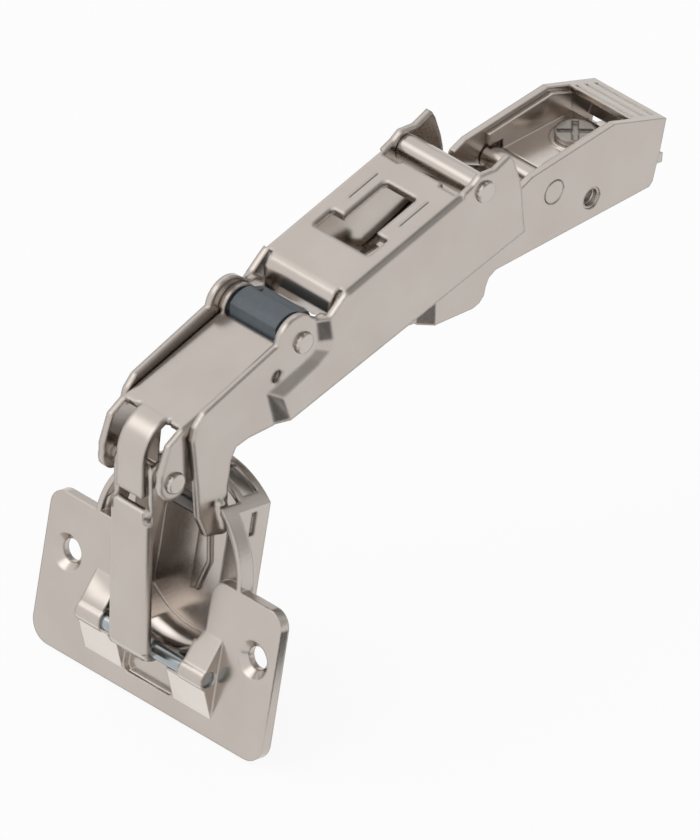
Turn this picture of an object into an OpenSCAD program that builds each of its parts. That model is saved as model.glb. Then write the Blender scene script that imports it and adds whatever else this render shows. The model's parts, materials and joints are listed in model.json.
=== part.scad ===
// Concealed cup hinge, wide opening, drawn fully open.
// X runs rearwards along the arm, Y along the pivot pins, Z away from the cabinet side.
// The origin is on the housing's lower edges, under the cam screw.

/* [Pivots] */
// Top pin, joins the connecting link to the main lever, X
top_x = -32.5; // [-33.2:0.1:-31.8]
// Top pin, Z
top_z = 19.0; // [18.5:0.1:19.5]
// Housing pin, carries the connecting link, X
rear_x = -13.8; // [-14.4:0.1:-13.4]
// Housing pin, Z
rear_z = 9.6; // [9.2:0.1:9.8]
// Nose pin, carries the middle lever, X
nose_x = -56.3; // [-57:0.1:-55.5]
// Nose pin, Z
nose_z = 1.0; // [0.6:0.1:1.6]
// Scissor pin, where the main and middle levers cross, X
cross_x = -74.7; // [-75.2:0.1:-74]
// Scissor pin, Z
cross_z = 6.8; // [6.3:0.1:7.2]
// Front pin, carries the front link, X
front_x = -103.8; // [-104.4:0.1:-103.4]
// Front pin, Z
front_z = -9.2; // [-9.8:0.1:-8.8]
// Flange axle, X
axle_x = -102.4; // [-102.8:0.1:-102]
// Flange axle, Z
axle_z = -46.7; // [-47.2:0.1:-46.2]
// Cup pin at the end of the main lever's legs, X
leg_x = -92.9; // [-93.6:0.1:-92.4]
// Cup pin, Z
leg_z = -21.5; // [-22:0.1:-21]

/* [Pins] */
// Radius of the riveted pins
pin_r = 1.5; // [1.3:0.05:1.6]
// Radius of the rivet heads
head_r = 2.1; // [1.9:0.05:2.4]
// Height of the rivet heads
head_h = 0.75; // [0.5:0.05:0.8]
// Notches round each rivet head
notches = 14; // [10:1:16]
// Radius of the slim middle of the top pin
waist_r = 0.8; // [0.7:0.05:0.85]
// Running clearance round a pin
run_fit = 0.05; // [0.03:0.01:0.08]
// Gap between levers that slide past each other
side_gap = 0.1; // [0.08:0.01:0.15]

/* [Housing] */
// Outer half width of the housing
housing_half = 8.65; // [8.6:0.05:8.7]
// Sheet of the housing
housing_t = 1.35; // [1.2:0.05:1.4]
// Highest point of the housing rims
rim_z = 16.9; // [16.5:0.1:17.3]
// Rear end of the housing
tail_x = 13.5; // [13:0.1:14]
// Depth of the grooves in the end plate
groove_d = 0.25; // [0.15:0.05:0.35]
// Pitch of the grooves
groove_pitch = 2.4; // [2.2:0.05:2.45]
// Top of the inner floor plate
floor_z = 10.4; // [10.2:0.1:10.6]
// Sheet of the inner floor plate
floor_t = 1.0; // [0.8:0.05:1.1]
// Radius of the cam screw head
cam_r = 3.65; // [3.4:0.05:3.8]
// Bore of the bushes in the side walls
bush_r = 1.65; // [1.5:0.05:1.7]

/* [Levers] */
// Outer half width of the middle lever
mid_half = 7.55; // [7.5:0.05:7.6]
// Sheet of the middle lever
mid_t = 1.2; // [1.1:0.05:1.25]
// Sheet of the main lever
lever_t = 1.3; // [1.2:0.05:1.35]
// Radius of the main lever's long folds
fold_r = 1.15; // [0.9:0.05:1.2]
// Radius of the smaller folds
small_fold_r = 0.85; // [0.7:0.05:0.95]
// Half width of the strap at the front of the middle lever
strap_half = 3.05; // [2.9:0.05:3.1]
// Sheet of the connecting link
link_t = 0.7; // [0.6:0.05:0.75]
// Radius of the knuckle round the top pin
knuckle_r = 2.5; // [2.45:0.05:2.6]
// Radius of the knuckle round the housing pin
rear_knuckle_r = 2.25; // [2.2:0.05:2.3]
// Outer half width of the front link
front_half = 4.5; // [4.4:0.05:4.6]
// Sheet of the front link
front_t = 1.0; // [0.9:0.05:1.05]

/* [Cup] */
// How far the door is turned open, from closed
opening = 170; // [169:0.5:171]
// Radius of the cup
cup_r = 17.5; // [17.3:0.05:17.5]
// Depth of the cup
cup_depth = 11; // [10.8:0.1:11.5]
// Sheet of the cup
cup_t = 1.0; // [0.8:0.05:1.1]
// Half width of the cup's flat sided bottom
box_half = 11.7; // [11.6:0.05:11.9]
// Depth of the round rim band
band_depth = 3.2; // [3:0.1:3.5]
// Distance between the flange's screw holes
hole_pitch = 45; // [44:0.5:48]
// Distance from the screw holes to the cup centre
hole_offset = 9.5; // [9:0.5:9.5]
// Half width of the flange
flange_half = 27.9; // [27:0.1:28.5]
// Flange edge on the arm's side, from the holes
flange_up = 10.7; // [10:0.1:11]
// Flange edge on the far side, from the holes
flange_down = 18.5; // [18:0.1:19]
// Thickness of the flange
flange_t = 2.0; // [1.8:0.1:2.1]
// Radius of the screw holes
screw_r = 2.1; // [2:0.05:2.3]
// Radius of the countersinks
sink_r = 3.55; // [3.4:0.05:3.7]
// Radius of the knuckles on the flange
flange_knuckle_r = 2.1; // [2.05:0.05:2.2]

/* [Hidden] */
$fn = 64;

top_p = [top_x, top_z];
rear_p = [rear_x, rear_z];
nose_p = [nose_x, nose_z];
cross_p = [cross_x, cross_z];
front_p = [front_x, front_z];
axle_p = [axle_x, axle_z];
leg_p = [leg_x, leg_z];

mid_in = mid_half - mid_t;
nose_out = mid_in - side_gap;
nose_in = nose_out - housing_t + side_gap;
leg_in = mid_half + side_gap;
wall_in = housing_half + 0.25;
wall_out = wall_in + lever_t;
housing_in = housing_half - housing_t;
slack = 0.02;

nickel = [0.74, 0.70, 0.67];
bright = [0.80, 0.78, 0.76];
steel = [0.60, 0.64, 0.68];
dark_grey = [0.36, 0.39, 0.41];

// A flat outline of the side view, stretched between two places along Y
module across(y0, y1) {
    translate([0, y1, 0]) rotate([90, 0, 0]) linear_extrude(y1 - y0) children();
}

// The same outline on both sides of the middle plane
module both(y0, y1) {
    across(y0, y1) children();
    across(-y1, -y0) children();
}

// A round bar or bore along Y, at a pivot
module bar(p, r, y0, y1) {
    translate([p[0], y1, p[1]]) rotate([90, 0, 0]) cylinder(h = y1 - y0, r = r);
}

module disc(p, r) {
    translate(p) circle(r);
}

// Domed and notched rivet heads that stand on the walls at half
module heads(p, half) {
    difference() {
        for (s = [-1, 1]) translate([p[0], s * half, p[1]]) rotate([-90 * s, 0, 0])
            cylinder(h = head_h, r1 = head_r, r2 = head_r - 0.3);
        both(half - 0.1, half + head_h + 0.1) for (i = [1 : notches])
            disc(p + head_r * [cos(i * 360 / notches), sin(i * 360 / notches)], 0.17);
    }
}

// A riveted pin that ends in a head on each side
module riveted_pin(p, half) {
    bar(p, pin_r, -half, half);
    heads(p, half);
}

// Outline (Y, Z) that rounds the corner of a folded sheet with its outside at half
module fold_corner(half, r) {
    for (s = [-1, 1]) translate([s * (half - r), -r]) difference() {
        translate([s > 0 ? 0 : -r - 1, 0]) square(r + 1);
        circle(r);
    }
}

// Rounds the two long folds of a channel whose flat top runs from a to b
module fold_cut(a, b, half, r) {
    translate([a[0], 0, a[1]]) rotate([0, -atan2(b[1] - a[1], b[0] - a[0]), 0])
        rotate([90, 0, 90]) linear_extrude(norm(b - a)) fold_corner(half, r);
}

module round_rect(x0, y0, w, h, r) {
    translate([x0 + r, y0]) square([w - 2 * r, h]);
    translate([x0, y0 + r]) square([w, h - 2 * r]);
    for (i = [0, 1], j = [0, 1])
        translate([x0 + r + i * (w - 2 * r), y0 + r + j * (h - 2 * r)]) circle(r, $fn = 32);
}

// Rims, slope and lower edge of one housing wall, up to the joggle
wall_front = -41.5;
module housing_outline() {
    polygon([[tail_x, rim_z - 4.5], [tail_x - 1.3, 6.7], [tail_x - 3, 0.8], [tail_x - 3.8, 0],
        [-27.8, 0], [-29.4, -0.9], [-30.1, -2.3], [-30.5, -4.0], [-31.6, -5.1], [-33.2, -5.5],
        [wall_front, -4.8], [wall_front, 3.4], [-36, 5.2], [-26, 9.0], [-23.6, 11.0], [-22, 13.9],
        [-19.1, 15.1], [0.7, rim_z]]);
}

module nose_outline() {
    polygon([[wall_front - 1, -4.75], [wall_front - 1, 5.0], [nose_x, nose_z + 3.4],
        [nose_x - 1, nose_z], [nose_x, nose_z - 3.4], [-47.5, -3.9]]);
    disc(nose_p, 3.4);
}

end_slope = atan2(4.5, tail_x - 0.7);
module end_plate() {
    difference() {
        across(-housing_in - 0.01, housing_in + 0.01) polygon([[6, rim_z - 1.86], [tail_x, rim_z - 4.5],
            [tail_x - 1.3, 6.7], [tail_x - 1.3 - housing_t, 7.0], [tail_x - housing_t, rim_z - 5.6],
            [6, rim_z - 3.1]]);
        for (i = [0 : 2])
            translate([7.1 + i * groove_pitch, 0, rim_z - 4.5 * (6.4 + i * groove_pitch) / (tail_x - 0.7)])
                rotate([0, end_slope, 0])
                    cube([0.8, 2 * (housing_in - 0.5), 2 * groove_d], center = true);
    }
}

module arm_housing() color(nickel) {
    difference() {
        union() {
            both(housing_in, housing_half) housing_outline();
            both(nose_in, nose_out) nose_outline();
            // The wall steps inwards from the housing to the nose
            for (s = [-1, 1]) scale([1, s, 1])
                translate([0, 0, -4.78]) linear_extrude(8.1)
                    polygon([[wall_front + 0.2, housing_half], [wall_front - 0.8, housing_half],
                        [wall_front - 3.0, nose_out], [wall_front - 3.0, nose_in],
                        [wall_front - 1.6, nose_in], [wall_front + 0.2, housing_in]]);
            end_plate();
        }
        bar(rear_p, pin_r + slack, -housing_half - 1, housing_half + 1);
        both(housing_half - flush_h - slack, housing_half + 1) disc(rear_p, flush_r + slack);
        both(housing_half - 0.3, housing_half + 1) disc(rear_p, flush_r + 0.3);
        bar(nose_p, pin_r + slack, -nose_out - 1, nose_out + 1);
        bar(bush_p, bush_out + slack, -housing_half - 1, housing_half + 1);
        bar(catch_p, catch_pin_r + slack, -pin_reach - slack, pin_reach + slack);
    }
}

// Inner channel with the raised ring that holds the cam screw
floor_front = rear_x + rear_knuckle_r + 0.3;
channel_half = housing_in - 0.05;
ring_r = cam_r + 0.9;
module floor_plate() color(bright) {
    difference() {
        union() {
            translate([floor_front, -channel_half, floor_z - floor_t])
                cube([5.6 - floor_front, 2 * channel_half, floor_t]);
            both(channel_half - floor_t, channel_half) polygon([[floor_front, floor_z - floor_t],
                [5.6, floor_z - floor_t], [5.6, 14.2], [0.9, rim_z - 0.9], [-14.6, 14.6],
                [-14.6, rear_z + rear_knuckle_r + 0.5], [floor_front, rear_z + rear_knuckle_r + 0.5]]);
            translate([0, 0, floor_z]) cylinder(h = 0.35, r = ring_r);
        }
        translate([0, 0, floor_z - floor_t - 1]) cylinder(h = 3, r = cam_neck_r + run_fit);
    }
}

// Cam screw: head with a cross slot, neck through the floor, spiral cam disc below
cam_neck_r = 2.4;
module cam_screw() color(bright) {
    difference() {
        translate([0, 0, floor_z + 0.35 + run_fit]) cylinder(h = 1.1, r = cam_r);
        for (a = [45, 135]) rotate([0, 0, a])
            translate([0, 0, floor_z + 1.5]) cube([6.2, 1.1, 1.2], center = true);
    }
    translate([0, 0, floor_z - floor_t - 0.6]) cylinder(h = floor_t + 1.2, r = cam_neck_r);
    translate([0.4, 0, floor_z - floor_t - 1.6]) cylinder(h = 1.5, r = 4.2);
}

// The housing pin's heads are let in flush, with a fine groove round them
flush_r = 2.1;
flush_h = 0.8;
module housing_pin() color(nickel) {
    bar(rear_p, pin_r, -housing_half, housing_half);
    both(housing_half - flush_h, housing_half) disc(rear_p, flush_r);
}

// The nose pin ends flush in the middle lever's walls
module nose_pin() color(nickel) {
    bar(nose_p, pin_r, -mid_half, mid_half);
}

// Threaded bushes in the side walls, closed on the inside
bush_p = [-4.5, 4.1];
bush_out = 2.1;
module side_bushes() color(bright) {
    difference() {
        both(housing_in - 0.6, housing_half - 0.25) disc(bush_p, bush_out);
        both(housing_in - 0.1, housing_half + 1) disc(bush_p, bush_r);
        for (i = [0 : 2]) both(housing_in + 0.05 + i * 0.4, housing_in + 0.25 + i * 0.4)
            disc(bush_p, bush_r + 0.2);
    }
}

// Release catch at the rear, on its own small pin that ends inside the walls
catch_p = [6.4, 5.0];
catch_pin_r = 1.0;
pin_reach = housing_half - 0.3;
catch_half = housing_in - 0.3;
module clip_catch() color(nickel) {
    difference() {
        union() {
            across(-catch_half, -catch_half + 1.2) catch_outline();
            across(catch_half - 1.2, catch_half) catch_outline();
            across(-catch_half, catch_half)
                polygon([[10.9, 3.3], [12.0, 2.6], [14.4, 2.2], [14.6, 4.0], [12.6, 4.6], [10.9, 5.4]]);
        }
        bar(catch_p, catch_pin_r + run_fit, -20, 20);
    }
}

module catch_outline() {
    disc(catch_p, 2.0);
    polygon([[6.4, 3.2], [11.4, 3.2], [11.4, 5.6], [6.4, 7.0]]);
    polygon([[4.8, 4.0], [7.0, 3.2], [6.2, 0.6], [4.6, 1.2]]);
}

module catch_pin() color(steel) {
    bar(catch_p, catch_pin_r, -pin_reach, pin_reach);
}

// Coil on the catch pin
spring_wire = 0.35;
module catch_spring() color(steel) {
    for (i = [0 : 4]) translate([catch_p[0], (i - 2) * 0.9, catch_p[1]]) rotate([90, 0, 0])
        rotate_extrude() translate([catch_pin_r + slack + spring_wire, 0]) circle(spring_wire, $fn = 24);
    bar([catch_p[0] + catch_pin_r + spring_wire, catch_p[1]], 0.2, -1.8, 1.8);
}

// Short link: a sheet rolled round both pins, tangent to the underside of the rolls
link_dir = top_p - rear_p;
link_len = norm(link_dir);
link_a = atan2(link_dir[1], link_dir[0]);
link_narrow = housing_in - floor_t - 0.25;
module on_link() {
    translate([rear_x, 0, rear_z]) rotate([0, -link_a, 0]) children();
}

module connecting_link() color(nickel) {
    difference() {
        union() {
            bar(rear_p, rear_knuckle_r, -channel_half + 0.15, channel_half - 0.15);
            bar(top_p, knuckle_r, -wall_in + 0.1, wall_in - 0.1);
            on_link() {
                translate([0, -link_narrow, rear_knuckle_r - link_t])
                    cube([link_len, 2 * link_narrow, link_t]);
                translate([link_len - 4.5, -wall_in + 0.4, rear_knuckle_r - link_t])
                    cube([4.5, 2 * wall_in - 0.8, link_t]);
            }
        }
        bar(rear_p, pin_r + run_fit, -30, 30);
        bar(top_p, knuckle_r - link_t, -30, 30);
    }
}

// Outer part of the main lever's wall, from the ears to the joggle
module lever_wall() {
    polygon([[-26.3, 23.4], [-25.4, 21.8], [-24.0, 17.7], [-23.4, 15.1], [-22.8, 8.9], [-22.3, 6.2],
        [-78.6, -6.75], [-80.5, -1.45], [-71.7, 1.6], [-69.1, 3.2], [-68.5, 5.3], [-69.3, 9.9],
        [-66.7, 12.05], [-65.3, 13.1], [-37.5, 20.3], [-35.2, 21.2], [-33.4, 22.4], [-29.8, 22.0]]);
}

// Sloping band where the pressed wall steps in from its outer plane to the legs
step_in = [[-71.9, 9.9], [-71.3, 5.5], [-71.7, 4.2], [-73.5, 3.1], [-83.4, 0.4], [-81.4, -6.95]];
step_out = [[-69.3, 9.9], [-68.5, 5.3], [-69.1, 3.2], [-71.7, 1.6], [-80.5, -1.45], [-78.6, -6.75]];
module wall_step() {
    n = len(step_in);
    polyhedron(
        points = concat([for (p = step_in) [p[0], wall_in, p[1]]],
            [for (p = step_out) [p[0], wall_in, p[1]]], [for (p = step_out) [p[0], wall_out, p[1]]]),
        faces = concat([[2 * n, n, 0]], [[2 * n - 1, 3 * n - 1, n - 1]],
            [for (i = [0 : n - 2]) [i, i + 1, 2 * n + i + 1]],
            [for (i = [0 : n - 2]) [i, 2 * n + i + 1, 2 * n + i]],
            [for (i = [0 : n - 2]) [2 * n + i, 2 * n + i + 1, n + i + 1, n + i]],
            [for (i = [0 : n - 2]) [n + i, n + i + 1, i + 1, i]]));
}

// Recessed part of the wall, with the ear round the scissor pin, the elbow and the leg
ear_p = [cross_x - 1.4, cross_z + 1.1];
ear_r = 4.65;
module leg_wall() {
    disc(ear_p, ear_r);
    polygon([[-72.6, 10.9], [-70.9, 9.75], [-69.4, 9.9], [-67.4, 8.5], [-67.4, 5.2], [-68.4, 2.2],
        [-71.6, -0.1], [-78.2, -2.8], [-77.6, -6.5], [-81.6, -7.1], [-87.5, -6.9], [-90.4, -7.4],
        [-91.7, -9.6], [-92.2, -14], [-92.3, -18], [leg_x + 2.3, leg_z], [leg_x, leg_z - 2.4],
        [-97.3, -22.6], [-99.1, -18.3], [-99.7, -11.4], [-100.9, -1.6], [-100.2, 0.8],
        [-98.2, 2.9], [-80.2, 8.8]]);
    disc(leg_p, 2.4);
}

plate_t = lever_t;
web_rear = [-37.5, 20.3];
web_front = [-65.3, 13.1];
web_rise = (web_rear[1] - web_front[1]) / (web_rear[0] - web_front[0]);
module web_outline() {
    polygon([web_rear, web_front, [web_front[0] + 0.4, web_front[1] - plate_t],
        [web_rear[0] + 0.3, web_rear[1] - plate_t]]);
}

// Front end of the web, bent down over the moulding and free of the walls
tongue_half = 7.9;
tongue_r = 2.5;
tongue_z = 6.7;
module tongue() {
    intersection() {
        across(-tongue_half, tongue_half)
            polygon([[-62, 13.95], web_front, [-66.4, 12.5], [-67.3, 11.1], [-67.6, 9.0], [-67.0, tongue_z],
                [-65.8, tongue_z], [-66.3, 9.2], [-66.0, 10.6], [-65.2, 11.6], [-61.7, 12.6]]);
        translate([-70, 0, 0]) rotate([90, 0, 90]) linear_extrude(10) {
            translate([-tongue_half, tongue_z + tongue_r]) square([2 * tongue_half, 8]);
            translate([tongue_r - tongue_half, tongue_z]) square([2 * (tongue_half - tongue_r), 8]);
            for (s = [-1, 1]) translate([s * (tongue_half - tongue_r), tongue_z + tongue_r]) circle(tongue_r);
        }
    }
}

// Half round bead with a domed top on the outside of each leg
bead_top = [-94.2, -17.4];
bead_end = [-93.0, -22.4];
bead_r = 1.1;
module leg_bead(s) {
    translate([bead_top[0], s * (wall_in - 0.1), bead_top[1]]) {
        sphere(bead_r);
        rotate([0, 180 - atan2(bead_end[0] - bead_top[0], bead_top[1] - bead_end[1]), 0])
            cylinder(h = norm(bead_end - bead_top), r = bead_r);
    }
}

// T window in the web, seen from above
module t_window() {
    translate([0, 0, 5]) linear_extrude(20) {
        round_rect(-54.7, -3.95, 12.3, 7.9, 0.8);
        round_rect(-57.1, -6.8, 4.9, 13.6, 0.6);
    }
}

module main_lever() color(nickel) {
    difference() {
        union() {
            both(wall_in, wall_out) lever_wall();
            both(leg_in, wall_in) leg_wall();
            across(-wall_in - 0.01, wall_in + 0.01) web_outline();
            tongue();
            wall_step();
            mirror([0, 1, 0]) wall_step();
            for (s = [-1, 1]) leg_bead(s);
        }
        t_window();
        fold_cut(web_front, web_rear, wall_out, fold_r);
        // Relief notches at the rear of the web and the two fine lines beside the window
        for (s = [-1, 1]) translate([web_rear[0] - 0.7, s * 6.85 - 2, 15]) cube([3, 4, 8]);
        for (s = [-1, 1]) translate([-45.4, s * 6.1, web_front[1] + (-45.4 - web_front[0]) * web_rise])
            rotate([0, -atan(web_rise), 0]) cube([7.2, 0.25, 0.24], center = true);
        bar(top_p, pin_r + slack, -30, 30);
        bar(cross_p, pin_r + slack, -30, 30);
        bar(leg_p, pin_r + slack, -wall_in + 0.2 - slack, wall_in - 0.2 + slack);
        bar([-80.9, 2.6], 1.2, -30, 30);
    }
}

// The top pin is slim between the ears, where the opened pivot needs room
module top_pin() color(bright) {
    bar(top_p, waist_r, -wall_in, wall_in);
    both(wall_in, wall_out) disc(top_p, pin_r);
    heads(top_p, wall_out);
}

module scissor_pin() color(bright) riveted_pin(cross_p, wall_in);

module cup_pin() color(steel) bar(leg_p, pin_r, -wall_in + 0.2, wall_in - 0.2);

// Middle lever: walls, bare top plate and the strap that curves down over the front pin
plate_rear = [-78.4, 7.2];
plate_front = [-101.7, 0.6];
relief_r = 0.6;
module mid_wall() {
    disc(nose_p, 3.5);
    disc(cross_p, spacer_r);
    disc(front_p, 3.4);
    polygon([[nose_x, nose_z + 3.5], [nose_x, nose_z - 3.5], [cross_x, cross_z - 3.6],
        [cross_x, cross_z + 3.4], [cross_x + 3.3, cross_z + 1.0], [-68.4, 6.1]]);
    polygon([plate_rear, [cross_x, cross_z + 3.0], [cross_x, cross_z - 3.6], [-90, -2.6],
        [-98.6, -5.5], [-99.6, -11.2], [front_x, front_z - 1], [-107.0, -10.6], [-107.1, -6.6],
        [-105.2, -1.4], plate_front]);
}

// The strap leaves the plate in a round bend and runs straight down past the front pin
bend_p = front_p + [3.8, 2.9];
bend_r = 7.2;
strap_drop = 6.8;
module strap_outline() {
    translate(bend_p) difference() {
        union() {
            circle(bend_r);
            translate([-bend_r, -strap_drop]) square([bend_r, strap_drop]);
        }
        circle(bend_r - mid_t);
        translate([mid_t - bend_r, -2 * bend_r]) square([3 * bend_r, 2 * bend_r]);
        translate([-mid_t, -2 * bend_r]) square([3 * bend_r, 4 * bend_r]);
    }
}

module middle_lever() color(nickel) {
    difference() {
        union() {
            both(mid_in, mid_half) mid_wall();
            across(-mid_in - 0.01, mid_in + 0.01)
                polygon([plate_rear, plate_front, plate_front + [0.3, -mid_t], plate_rear + [0.3, -mid_t]]);
            across(-strap_half, strap_half) strap_outline();
        }
        bar(nose_p, pin_r + run_fit, -30, 30);
        bar(cross_p, pin_r + run_fit, -30, 30);
        bar(front_p, pin_r + slack, -30, 30);
        fold_cut(plate_front, plate_rear, mid_half, small_fold_r);
        // The wall steps in behind its front ear, and a small round relief ends each side of the strap
        for (s = [-1, 1]) {
            translate([front_x + 2, s * mid_half, -13]) linear_extrude(12)
                polygon([[0, s * 0.05], [2.6, s * 0.05], [2.6, -s * 0.7]]);
            translate([plate_front[0] - 0.1, s * (strap_half + relief_r), -2]) cylinder(h = 4, r = relief_r);
        }
    }
}

// Grey moulding that fills the middle lever round the scissor pin
spacer_half = mid_in - 0.9;
spacer_r = 4.2;
module plastic_spacer() color(dark_grey) {
    difference() {
        // Bosses beside the moulding rest against the middle lever's walls
        bar(cross_p, 2.7, -mid_in, mid_in);
        bar(cross_p, pin_r + run_fit, -30, 30);
    }
    difference() {
        across(-spacer_half, spacer_half) {
            disc(cross_p, spacer_r);
            translate(cross_p)
                polygon([[-1, 3.6], [0.8, 4.0], [4.6, 2.6], [6.0, -0.4], [5.4, -2.5], [-1, -3.6]]);
        }
        bar(cross_p, pin_r + run_fit, -30, 30);
        across(-spacer_half - 1, spacer_half + 1) translate(plate_rear)
            polygon([[-12, 2.5], [0.4, 2.5], [0.4, -20], [-12, -20]]);
        // Sunk panel on the rear slope of the moulding
        translate([cross_x, 0, cross_z + 2.9]) linear_extrude(3)
            polygon([[1.6, 3.9], [4.0, 4.4], [5.0, -4.6], [2.2, -4.6]]);
    }
}

washer_r = 3.0;
module scissor_washers() color(bright) {
    both(mid_half, leg_in - slack) difference() {
        disc(cross_p, washer_r);
        disc(cross_p, pin_r + run_fit);
    }
}

module front_pin() color(bright) riveted_pin(front_p, mid_half);

// Front link: a sheet with shallow folded edges, ears at the top and a tail rolled round the axle
web_x = -107.35;
web_depth = 1.6;
tail_half = 2.3;
roll_r = 2.3;
link_low = axle_z + 1.9;
module front_wall() {
    disc(front_p, 2.6);
    polygon([[front_x - 2.6, front_z], [front_x + 2.6, front_z], [front_x + 1.6, -14.5], [web_x + 2.4, -20],
        [web_x + web_depth, -23], [web_x + web_depth, link_low], [web_x, link_low],
        [web_x, -17.0], [web_x + 1.2, -16.0]]);
}

module front_link() color(nickel) {
    difference() {
        union() {
            both(front_half - front_t, front_half) front_wall();
            across(-front_half, front_half) polygon([[web_x, -17.0], [web_x + front_t, -16.4],
                [web_x + front_t, link_low - 0.4], [web_x + 1.6, link_low - 1.6],
                [web_x + 0.8, link_low - 1.5], [web_x, link_low]]);
            across(-tail_half, tail_half) {
                disc(axle_p, roll_r);
                polygon([[web_x, link_low + 1], [web_x + front_t, link_low + 1],
                    [web_x + 1.4, link_low - 1.0], axle_p + [-1.6, 1.5], axle_p,
                    axle_p + [-1.2, -1.96], axle_p + [-3.3, -0.8], [web_x, link_low]]);
            }
        }
        bar(front_p, pin_r + run_fit, -30, 30);
        bar(axle_p, pin_r + run_fit, -30, 30);
        // Rounded folds, with a small round relief at the top of each
        translate([web_x, 0, link_low]) linear_extrude(27.8) rotate(90) fold_corner(front_half, small_fold_r);
        for (s = [-1, 1]) translate([web_x - 0.5, s * (front_half - 0.2), -17.4]) rotate([0, 90, 0])
            cylinder(h = 1.8, r = 0.8);
    }
}

// The cup is drawn in its own frame: X into the door, Z towards the arm,
// origin on the flange's face between the screw holes
tilt = 180 - opening;
hole_p = [-99.35, -40.3];
module in_flange() {
    translate([hole_p[0], 0, hole_p[1]]) rotate([0, tilt, 0]) children();
}

// The axle in the flange's own frame
axle_n = (axle_x - hole_p[0]) * cos(tilt) - (axle_z - hole_p[1]) * sin(tilt);
axle_up = (axle_x - hole_p[0]) * sin(tilt) + (axle_z - hole_p[1]) * cos(tilt);

// A flat outline of the flange's face (Y, then up), stretched into the door
module into(n0, n1) {
    translate([n0, 0, 0]) rotate([90, 0, 90]) linear_extrude(n1 - n0) children();
}

// Rounded corners, a little larger on the far side
up_r = 3.2;
down_r = 4;
module flange_face() {
    for (s = [-1, 1]) {
        translate([s * (flange_half - up_r), flange_up - up_r]) circle(up_r);
        translate([s * (flange_half - down_r), down_r - flange_down]) circle(down_r);
    }
    translate([up_r - flange_half, -5]) square([2 * (flange_half - up_r), flange_up + 5]);
    translate([-flange_half, -5]) square([2 * flange_half, flange_up + 5 - up_r]);
    translate([down_r - flange_half, -flange_down]) square([2 * (flange_half - down_r), flange_down]);
    translate([-flange_half, down_r - flange_down]) square([2 * flange_half, flange_down - down_r]);
}

opening_half = 11;
pocket_half = 6;
pocket_low = -15;
corner_r = 3;
module mouth() {
    translate([-opening_half, 1.5]) square([2 * opening_half, 40]);
    translate([0, 1.5]) scale([1, 0.75]) circle(opening_half);
    translate([-pocket_half + 0.1, hole_offset - cup_r]) square([2 * pocket_half - 0.2, 10]);
    // Rounded corners where the mouth meets the flange's edge
    for (s = [-1, 1]) translate([s * (opening_half + corner_r), flange_up - corner_r]) difference() {
        translate([s > 0 ? -corner_r - 0.1 : 0, 0]) square([corner_r + 0.1, corner_r + 0.1]);
        circle(corner_r);
    }
}

module cup_shape(r, half, d0, d1) {
    into(d0, d1) intersection() {
        translate([0, hole_offset]) circle(r, $fn = 128);
        translate([-half, hole_offset - 30]) square([2 * half, 60]);
    }
}

leg_notch = wall_in + 1.4;
boss_h = 0.7;
knuckle_in = 9.6;
knuckle_out = 15.25;
ramp_top = 0.5;
ramp_low = -14.9;
module hump() {
    across(9.8, knuckle_out)
        polygon([[0.01, ramp_top], [axle_n - 0.86 * flange_knuckle_r, axle_up + 0.5 * flange_knuckle_r],
            [axle_n, axle_up], [0.01, axle_up]]);
    across(pocket_half + 0.2, knuckle_out)
        polygon([[0.01, axle_up], [axle_n, axle_up],
            [axle_n - 0.88 * flange_knuckle_r, axle_up - 0.46 * flange_knuckle_r], [0.01, ramp_low]]);
}

// Raised pressing on the cup's floor
module floor_mark() {
    into(cup_depth - cup_t - 0.25, cup_depth - cup_t + 0.1)
        polygon([[2.2, 12], [0.2, 12.3], [-0.9, 6.5], [0.9, 0.6], [2.2, 0]]);
    into(cup_depth - cup_t - 0.6, cup_depth - cup_t + 0.1)
        polygon([[0.2, 12.3], [-0.9, 6.5], [0.9, 0.6], [0.3, 0.4], [-1.5, 6.4], [-0.4, 12.4]]);
}

module cup_flange() color(nickel) in_flange() {
    cup_body();
    floor_mark();
}

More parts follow.
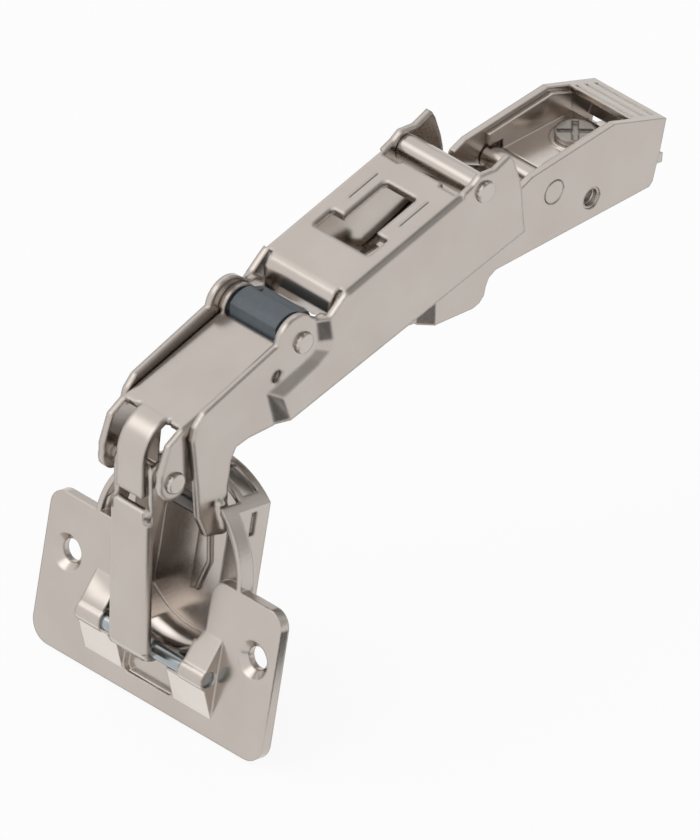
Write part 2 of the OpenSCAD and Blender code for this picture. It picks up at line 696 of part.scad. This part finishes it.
module cup_body() difference() {
    union() {
        into(0, flange_t) flange_face();
        cup_shape(cup_r, 30, flange_t - 0.01, band_depth);
        into(0, flange_t) translate([0, hole_offset]) circle(cup_r, $fn = 128);
        cup_shape(cup_r, box_half, band_depth - 0.01, cup_depth);
        // The pressed countersinks stand out at the back
        for (s = [-1, 1]) translate([flange_t - 0.01, s * hole_pitch / 2, 0])
            rotate([0, 90, 0]) cylinder(h = boss_h, r = screw_r + 1.2);
        hump();
        mirror([0, 1, 0]) hump();
        for (s = [-1, 1]) bar([axle_n, axle_up], flange_knuckle_r,
            s > 0 ? knuckle_in : -knuckle_out, s > 0 ? knuckle_out : -knuckle_in);
    }
    // Cavity, with its floor and walls one sheet thick
    cup_shape(cup_r - cup_t, box_half - cup_t, flange_t, cup_depth - cup_t);
    into(-1, flange_t + 0.01) intersection() {
        mouth();
        translate([0, hole_offset]) circle(cup_r - cup_t, $fn = 128);
    }
    into(-1, flange_t + 0.01) intersection() {
        translate([0, hole_offset]) circle(cup_r - cup_t, $fn = 128);
        translate([-30, flange_up]) square([60, 40]);
    }
    // Pocket that takes the front link's lower end
    into(-1, flange_t - 0.7) round_rect(-pocket_half, pocket_low, 2 * pocket_half, 14, 1.3);
    bar([axle_n, axle_up], pin_r + slack, -30, 30);
    for (s = [-1, 1]) translate([0, s * hole_pitch / 2, 0]) rotate([0, 90, 0]) {
        translate([0, 0, -1]) cylinder(h = 6, r = screw_r);
        translate([0, 0, -0.01]) cylinder(h = sink_r - screw_r, r1 = sink_r, r2 = screw_r);
    }
    // The main lever's legs pass through this gap in the rim
    translate([-1, -leg_notch, hole_offset + 11]) cube([band_depth + 2.5, 2 * leg_notch, 12]);
    // Windows in the wall on the arm's side and slots in the flat sides
    for (s = [-1, 1]) translate([6, s * 6.4 - 3.2, hole_offset + cup_r - 6]) cube([3.6, 6.4, 12]);
    for (s = [-1, 1]) translate([6.6, s * box_half - 1, 17]) cube([1.2, 2, 4.6]);
}

module flange_axle() color(steel) in_flange()
    bar([axle_n, axle_up], pin_r, -knuckle_out + 0.5, knuckle_out - 0.5);

arm_housing();
floor_plate();
cam_screw();
housing_pin();
nose_pin();
side_bushes();
clip_catch();
catch_pin();
catch_spring();
connecting_link();
main_lever();
top_pin();
scissor_pin();
cup_pin();
middle_lever();
plastic_spacer();
scissor_washers();
front_pin();
front_link();
cup_flange();
flange_axle();
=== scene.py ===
import json
import math

import bmesh
import bpy
from mathutils import Matrix, Vector


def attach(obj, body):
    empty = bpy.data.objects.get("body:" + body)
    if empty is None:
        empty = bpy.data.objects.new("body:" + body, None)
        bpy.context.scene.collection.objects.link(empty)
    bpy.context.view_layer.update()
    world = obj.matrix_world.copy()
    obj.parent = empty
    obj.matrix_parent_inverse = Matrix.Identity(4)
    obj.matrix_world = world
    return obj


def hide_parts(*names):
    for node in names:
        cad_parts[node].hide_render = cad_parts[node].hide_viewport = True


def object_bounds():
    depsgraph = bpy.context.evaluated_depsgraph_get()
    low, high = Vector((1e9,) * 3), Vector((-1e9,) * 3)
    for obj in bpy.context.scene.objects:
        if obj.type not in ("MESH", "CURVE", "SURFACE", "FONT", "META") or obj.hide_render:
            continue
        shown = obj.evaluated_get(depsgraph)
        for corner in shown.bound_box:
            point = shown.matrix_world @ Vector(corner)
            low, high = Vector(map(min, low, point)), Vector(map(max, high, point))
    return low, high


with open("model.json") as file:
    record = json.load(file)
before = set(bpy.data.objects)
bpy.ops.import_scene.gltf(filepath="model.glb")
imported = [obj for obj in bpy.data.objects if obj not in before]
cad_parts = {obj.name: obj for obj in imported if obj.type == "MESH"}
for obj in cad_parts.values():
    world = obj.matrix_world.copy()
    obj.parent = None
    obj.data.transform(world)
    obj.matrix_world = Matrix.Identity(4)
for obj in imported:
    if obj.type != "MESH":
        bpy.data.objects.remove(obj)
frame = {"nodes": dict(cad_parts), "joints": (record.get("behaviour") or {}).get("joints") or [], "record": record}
cad_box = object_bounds()
nodes = frame["nodes"]
scene = bpy.context.scene
MM = 0.001                        # metres in a millimetre


def mm(*v):
    return Vector(v) * MM


def new_object(name, mesh):
    ob = bpy.data.objects.new(name, mesh)
    bpy.context.collection.objects.link(ob)
    return ob


# Camera. The photograph's view is nearly parallel, so the camera stands far off with a long lens.
photo_wide, photo_high = 700, 840
pixels_per_mm = 5.8387
screw_top = mm(0, 0, 11.85)       # this point lies at the pixel below
screw_top_pixel = (575.8, 129.8)
true_scale_nearer = 10 * MM       # the plane of true scale lies this much nearer than that point
camera_distance = 5.0
sensor = 18.0
picture_right = Vector((0.7072, -0.7068, 0.0182)).normalized()
picture_down = Vector((-0.3843, -0.4059, -0.8291))
forward = picture_right.cross(picture_down).normalized()
picture_up = picture_right.cross(forward).normalized()

centre = screw_top + picture_right * (photo_wide / 2 - screw_top_pixel[0]) / pixels_per_mm * MM
centre -= picture_up * (photo_high / 2 - screw_top_pixel[1]) / pixels_per_mm * MM
centre -= forward * true_scale_nearer
cam_data = bpy.data.cameras.new("camera")
cam = new_object("camera", cam_data)
columns = (picture_right, picture_up, -forward)
cam.matrix_world = Matrix([[*row, 0] for row in zip(*columns)] + [[0, 0, 0, 1]])
cam.location = centre - forward * camera_distance
cam_data.sensor_width = sensor
cam_data.lens = sensor * camera_distance / (photo_high / pixels_per_mm * MM)
cam_data.clip_start = 0.05
cam_data.clip_end = 50
scene.camera = cam


# Places on the flange, from the record: its two screw holes, its outward axis and the axle
mounts = {m["name"]: m for m in frame["record"]["mounts"]}
joints = {j["name"]: j for j in frame["joints"]}
hole_a, hole_b = mounts["flange_screw_a"], mounts["flange_screw_b"]
hole_depth = 2.1                  # the holes' points lie this far behind the flange's front face
out = Vector(hole_a["axis"])
uphill = Vector((out.z, 0, -out.x))
face = (Vector(hole_a["pos_m"]) + Vector(hole_b["pos_m"])) / 2
face += out * hole_depth * MM
to_axle = Vector(joints["cup_turn"]["pos_m"]) - face
axle_n = -to_axle.dot(out) / MM
axle_up = to_axle.dot(uphill) / MM


def on_flange(n, y, u):
    """A point given in millimetres: into the door, along Y, and up towards the arm."""
    return face + (uphill * u - out * n) * MM + mm(0, y, 0)


# Shapes
def solid(name, rings, caps=True):
    """A closed body from rings of points. Without caps the last ring joins the first."""
    bm = bmesh.new()
    rows = [[bm.verts.new(p) for p in ring] for ring in rings]
    after = rows[1:] if caps else rows[1:] + rows[:1]
    for a, b in zip(rows, after):
        for i in range(len(a)):
            k = (i + 1) % len(a)
            bm.faces.new((a[i], b[i], b[k], a[k]))
    if caps:
        bm.faces.new(rows[0])
        bm.faces.new(rows[-1])
    bmesh.ops.recalc_face_normals(bm, faces=bm.faces)
    me = bpy.data.meshes.new(name)
    bm.to_mesh(me)
    bm.free()
    return new_object(name, me)


def prism(name, outline, y0, y1):
    """A bar along Y over an outline of (into the door, up) points."""
    return solid(name, [[on_flange(n, y, u) for n, u in outline] for y in (y0, y1)])


def round_ring(r, y):
    """A circle of points round the axle."""
    steps = 64
    turn = [2 * math.pi * i / steps for i in range(steps)]
    return [on_flange(axle_n + r * math.cos(t), y, axle_up + r * math.sin(t)) for t in turn]


def apply_modifiers(piece):
    bpy.context.view_layer.update()
    made = piece.evaluated_get(bpy.context.evaluated_depsgraph_get())
    piece.data = bpy.data.meshes.new_from_object(made)
    piece.modifiers.clear()


def combine(piece, tools):
    """Applies boolean cuts and joins to a piece's mesh, in order, and removes the tools."""
    for how, tool in tools:
        mod = piece.modifiers.new("shape", "BOOLEAN")
        mod.operation = how
        mod.solver = "EXACT"
        mod.object = tool
        apply_modifiers(piece)
        bpy.data.objects.remove(tool)


def dress_normals(piece):
    """Merges coplanar faces, then lets round faces shade smoothly while flat ones stay flat."""
    coplanar, sharp = math.radians(0.3), math.radians(15)
    me = piece.data
    bm = bmesh.new()
    bm.from_mesh(me)
    bmesh.ops.dissolve_limit(bm, angle_limit=coplanar, verts=bm.verts, edges=bm.edges)
    bm.to_mesh(me)
    bm.free()
    me.polygons.foreach_set("use_smooth", [True] * len(me.polygons))
    me.set_sharp_from_angle(angle=sharp)
    mod = piece.modifiers.new("normals", "WEIGHTED_NORMAL")
    mod.keep_sharp = True
    mod.weight = 100              # the larger face decides
    apply_modifiers(piece)


def stand_in(name, node, body):
    """A piece that starts from a node's own mesh and takes its place."""
    bm = bmesh.new()
    bm.from_mesh(nodes[node].data)
    bmesh.ops.remove_doubles(bm, verts=bm.verts, dist=1e-6)
    me = bpy.data.meshes.new(name)
    bm.to_mesh(me)
    bm.free()
    piece = new_object(name, me)
    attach(piece, body)
    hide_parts(node)
    return piece


# Flange: the ramps are cut lower on both sides of the rolled knuckles, so that the rolls stand
# out as in the photo. All in millimetres.
knuckle_r, bore_r = 2.1, 1.53
knuckle_in, knuckle_out = 9.6, 15.25        # the knuckles' ends along Y
cut_in, cut_out = 5.9, knuckle_out + 0.6    # the cuts' ends along Y
ramp_top, ramp_low = 0.5, -14.9             # where the ramps leave the flange's face, above and below
skin, clear_n, clear_u = 0.01, -9, 2        # the cuts start just off the face and end clear of it
upper_foot = (axle_n - 0.55 * knuckle_r, axle_up + 0.80 * knuckle_r)
lower_foot = (axle_n - 0.45 * knuckle_r, axle_up - 0.85 * knuckle_r)
flange = stand_in("flange_with_rolled_knuckles", "cup_flange", "cup")


def ramp_cut(name, start, foot, end, y0, y1):
    """What lies over a ramp from its start on the flange's face to its foot at the knuckle."""
    outline = [(-skin, start), foot, (axle_n - 1, axle_up), (clear_n, axle_up),
               (clear_n, end), (-skin, end)]
    return "DIFFERENCE", prism(name, outline, y0, y1)


tools = []
for side in (-1, 1):
    y0, y1 = sorted((side * cut_in, side * cut_out))
    tools.append(ramp_cut("cut_above", ramp_top, upper_foot, ramp_top + clear_u, y0, y1))
    tools.append(ramp_cut("cut_below", ramp_low, lower_foot, ramp_low - clear_u, y0, y1))
for side in (-1, 1):
    y0, y1 = side * knuckle_in, side * knuckle_out
    corners = ((knuckle_r, y0), (knuckle_r, y1), (bore_r, y1), (bore_r, y0))
    tools.append(("UNION", solid("roll", [round_ring(r, y) for r, y in corners], caps=False)))
combine(flange, tools)
dress_normals(flange)

# Front link: the top edge of its web reaches up close below the middle lever's strap
web_front, web_half, web_top = -105.8, 3.6, -17.15
web_rise = 1.1
link_piece = stand_in("front_link_sheet", "front_link", "front")
for v in link_piece.data.vertices:
    x, y, z = v.co * 1000
    if x < web_front and abs(y) < web_half and z > web_top:
        v.co.z += web_rise * MM
dress_normals(link_piece)


# Materials
def new_mat(name):
    m = bpy.data.materials.new(name)
    m.use_nodes = True
    return m, m.node_tree, m.node_tree.nodes["Principled BSDF"]


def link(nt, a, b):
    nt.links.new(a, b)


noise_low, noise_high = 0.3, 0.7  # the range that the noise mostly keeps to


def noise(nt, scale, detail, rough):
    tc = nt.nodes.new("ShaderNodeTexCoord")
    n = nt.nodes.new("ShaderNodeTexNoise")
    n.inputs["Scale"].default_value = scale
    n.inputs["Detail"].default_value = detail
    n.inputs["Roughness"].default_value = rough
    link(nt, tc.outputs["Object"], n.inputs["Vector"])
    return n


def colour_ramp(nt, src, lo, hi):
    r = nt.nodes.new("ShaderNodeValToRGB")
    for stop, position, colour in zip(r.color_ramp.elements, (noise_low, noise_high), (lo, hi)):
        stop.position = position
        stop.color = (*colour, 1)
    link(nt, src, r.inputs["Fac"])
    return r


def add_bump(nt, height, strength, distance):
    bump = nt.nodes.new("ShaderNodeBump")
    bump.inputs["Strength"].default_value = strength
    bump.inputs["Distance"].default_value = distance
    link(nt, height, bump.inputs["Height"])
    return bump


def metal(name, lo, hi, rough_lo, rough_hi, edge):
    """Plated or bare steel: cloudy colour, a fine grain, and edges that shade as rounded ones."""
    m, nt, b = new_mat(name)
    b.inputs["Metallic"].default_value = 1.0
    cloud = noise(nt, scale=90, detail=3, rough=0.55)
    colour = colour_ramp(nt, cloud.outputs["Fac"], lo, hi)
    link(nt, colour.outputs["Color"], b.inputs["Base Color"])
    fine = noise(nt, scale=2600, detail=2, rough=0.6)
    rough = nt.nodes.new("ShaderNodeMapRange")
    rough.inputs["From Min"].default_value = noise_low
    rough.inputs["From Max"].default_value = noise_high
    rough.inputs["To Min"].default_value = rough_lo
    rough.inputs["To Max"].default_value = rough_hi
    link(nt, fine.outputs["Fac"], rough.inputs["Value"])
    link(nt, rough.outputs["Result"], b.inputs["Roughness"])
    bevel = nt.nodes.new("ShaderNodeBevel")
    bevel.samples = 6
    bevel.inputs["Radius"].default_value = edge
    grain = add_bump(nt, fine.outputs["Fac"], strength=0.006, distance=0.00002)
    link(nt, bevel.outputs["Normal"], grain.inputs["Normal"])
    link(nt, grain.outputs["Normal"], b.inputs["Normal"])
    return m


def plastic(name, lo, hi):
    """Dull moulded plastic with a slight texture."""
    m, nt, b = new_mat(name)
    texture = noise(nt, scale=900, detail=3, rough=0.6)
    colour = colour_ramp(nt, texture.outputs["Fac"], lo, hi)
    link(nt, colour.outputs["Color"], b.inputs["Base Color"])
    b.inputs["Roughness"].default_value = 0.45
    bump = add_bump(nt, texture.outputs["Fac"], strength=0.15, distance=0.00003)
    link(nt, bump.outputs["Normal"], b.inputs["Normal"])
    return m


# Each metal: its darkest and lightest colour, its least and most roughness, and the radius in
# metres that its edges shade with
nickel_tones = (0.515, 0.465, 0.425), (0.55, 0.50, 0.46)
sheet = metal("nickel_sheet", *nickel_tones, 0.20, 0.26, 0.0005)
pressed = metal("nickel_pressed", *nickel_tones, 0.20, 0.26, 0.0006)
folded = metal("nickel_folded", *nickel_tones, 0.20, 0.26, 0.0010)
bright = metal("nickel_bright", (0.53, 0.48, 0.44), (0.58, 0.53, 0.49), 0.18, 0.24, 0.0005)
plate = metal("nickel_plate", (0.66, 0.60, 0.55), (0.72, 0.66, 0.61), 0.20, 0.26, 0.0005)
screw = metal("steel_screw", (0.33, 0.30, 0.27), (0.38, 0.35, 0.32), 0.26, 0.32, 0.0005)
# Painted reflection: a lighter tone, given only to the flange's lower ramps
ramp_painted_sheen = metal("nickel_painted_sheen", (0.72, 0.66, 0.61), (0.78, 0.72, 0.67), 0.22, 0.28, 0.0004)
axle = metal("steel_axle", (0.36, 0.40, 0.42), (0.42, 0.45, 0.47), 0.16, 0.22, 0.0005)
dark = metal("steel_dark", (0.10, 0.095, 0.09), (0.14, 0.13, 0.12), 0.28, 0.36, 0.0005)
grey = plastic("grey_plastic", (0.080, 0.098, 0.112), (0.092, 0.112, 0.128))

look = {
    grey: ("plastic_spacer",),
    axle: ("flange_axle",),
    dark: ("cup_pin", "catch_pin", "catch_spring", "nose_pin"),
    folded: ("main_lever", "middle_lever"),
    bright: ("top_pin", "scissor_pin", "front_pin", "scissor_washers", "side_bushes"),
    plate: ("floor_plate",),
    screw: ("cam_screw",),
}
finish_of = {name: m for m, names in look.items() for name in names}


def paint(ob, m):
    if not ob.material_slots:
        ob.data.materials.append(m)
    for slot in ob.material_slots:
        slot.material = m


for name, ob in nodes.items():
    paint(ob, finish_of.get(name, sheet))
paint(flange, pressed)
paint(link_piece, folded)

# Painted reflection: the lower ramps, picked out by the way they face, get a lighter colour than the rest of the
# flange, standing in for the brighter light that they mirror
nearly_same_way = 0.998
flange.data.materials.append(ramp_painted_sheen)
lower_ramp_out = (out * (lower_foot[1] - ramp_low) + uphill * lower_foot[0]).normalized()
for poly in flange.data.polygons:
    if poly.normal.dot(lower_ramp_out) > nearly_same_way:
        poly.material_index = len(flange.data.materials) - 1


# Floor and studio
scene.view_settings.view_transform = "Standard"
scene.view_settings.look = "None"
floor_z = cad_box[0][2]
stage_gap = 0.5 * MM


def stage_plane(name, z, size, colour, rough):
    """A square in the stage, with a plain grey material of its own."""
    s = size / 2
    me = bpy.data.meshes.new(name)
    me.from_pydata([(-s, -s, z), (s, -s, z), (s, s, z), (-s, s, z)], [], [(0, 1, 2, 3)])
    ob = new_object(name, me)
    m, nt, b = new_mat(name + "_grey")
    b.inputs["Base Color"].default_value = (colour, colour, colour, 1)
    b.inputs["Roughness"].default_value = rough
    ob.data.materials.append(m)
    return ob, nt, b


# The floor is nearly white by itself to the camera and to the metal, and keeps a share of shadow
floor, fnt, fb = stage_plane("floor", floor_z - stage_gap, 8.0, 0.9, 0.9)
white_share = 0.9
glow = fnt.nodes.new("ShaderNodeEmission")
glow.inputs["Color"].default_value = (1, 1, 1, 1)
glow.inputs["Strength"].default_value = 1.0
path = fnt.nodes.new("ShaderNodeLightPath")
seen = fnt.nodes.new("ShaderNodeMath")
seen.operation = "MAXIMUM"
link(fnt, path.outputs["Is Camera Ray"], seen.inputs[0])
link(fnt, path.outputs["Is Glossy Ray"], seen.inputs[1])
share = fnt.nodes.new("ShaderNodeMath")
share.operation = "MULTIPLY"
share.inputs[1].default_value = white_share
link(fnt, seen.outputs["Value"], share.inputs[0])
mix = fnt.nodes.new("ShaderNodeMixShader")
link(fnt, share.outputs["Value"], mix.inputs["Fac"])
link(fnt, fb.outputs["BSDF"], mix.inputs[1])
link(fnt, glow.outputs["Emission"], mix.inputs[2])
link(fnt, mix.outputs["Shader"], fnt.nodes["Material Output"].inputs["Surface"])

# A dark card lies on the floor beside the flange, nearer to the viewer and to the right. Only
# mirrored rays meet it, so it darkens what the cup and the folds mirror.
card, _, _ = stage_plane("floor_card", floor_z + stage_gap, 0.075, 0.12, 0.8)
card.location = (-0.100, -0.085, 0)
card.visible_camera = False
card.visible_diffuse = False
card.visible_shadow = False

# The studio is white all round, with darker and brighter fields that light the metal.
# Each field: azimuth and elevation, angle of its core and its rim in degrees, brightness
fields = [
    (-40, 84, 10, 30, 0.22),
    (-66, 30, 22, 40, 0.42),
    (8, 28, 14, 34, 0.34),
    (150, 54, 12, 28, 2.1),
]
world = bpy.data.worlds.new("studio")
scene.world = world
world.use_nodes = True
wnt = world.node_tree
background = wnt.nodes["Background"]
background.inputs["Color"].default_value = (1, 1, 1, 1)
ray = wnt.nodes.new("ShaderNodeTexCoord")
level = None
for az, el, core, rim, value in fields:
    a, e = math.radians(az), math.radians(el)
    towards = (math.cos(e) * math.cos(a), math.cos(e) * math.sin(a), math.sin(e))
    dot = wnt.nodes.new("ShaderNodeVectorMath")
    dot.operation = "DOT_PRODUCT"
    dot.inputs[1].default_value = towards
    link(wnt, ray.outputs["Generated"], dot.inputs[0])
    fade = wnt.nodes.new("ShaderNodeMapRange")
    fade.interpolation_type = "SMOOTHSTEP"
    fade.inputs["From Min"].default_value = math.cos(math.radians(rim))
    fade.inputs["From Max"].default_value = math.cos(math.radians(core))
    fade.inputs["To Min"].default_value = 1.0
    fade.inputs["To Max"].default_value = value
    link(wnt, dot.outputs["Value"], fade.inputs["Value"])
    if level is None:
        level = fade.outputs["Result"]
        continue
    both = wnt.nodes.new("ShaderNodeMath")
    both.operation = "MULTIPLY"
    link(wnt, level, both.inputs[0])
    link(wnt, fade.outputs["Result"], both.inputs[1])
    level = both.outputs["Value"]

# The camera sees the studio as plain white
world_path = wnt.nodes.new("ShaderNodeLightPath")
white = wnt.nodes.new("ShaderNodeMix")
white.inputs["B"].default_value = 1.0
link(wnt, world_path.outputs["Is Camera Ray"], white.inputs["Factor"])
link(wnt, level, white.inputs["A"])
link(wnt, white.outputs["Result"], background.inputs["Strength"])
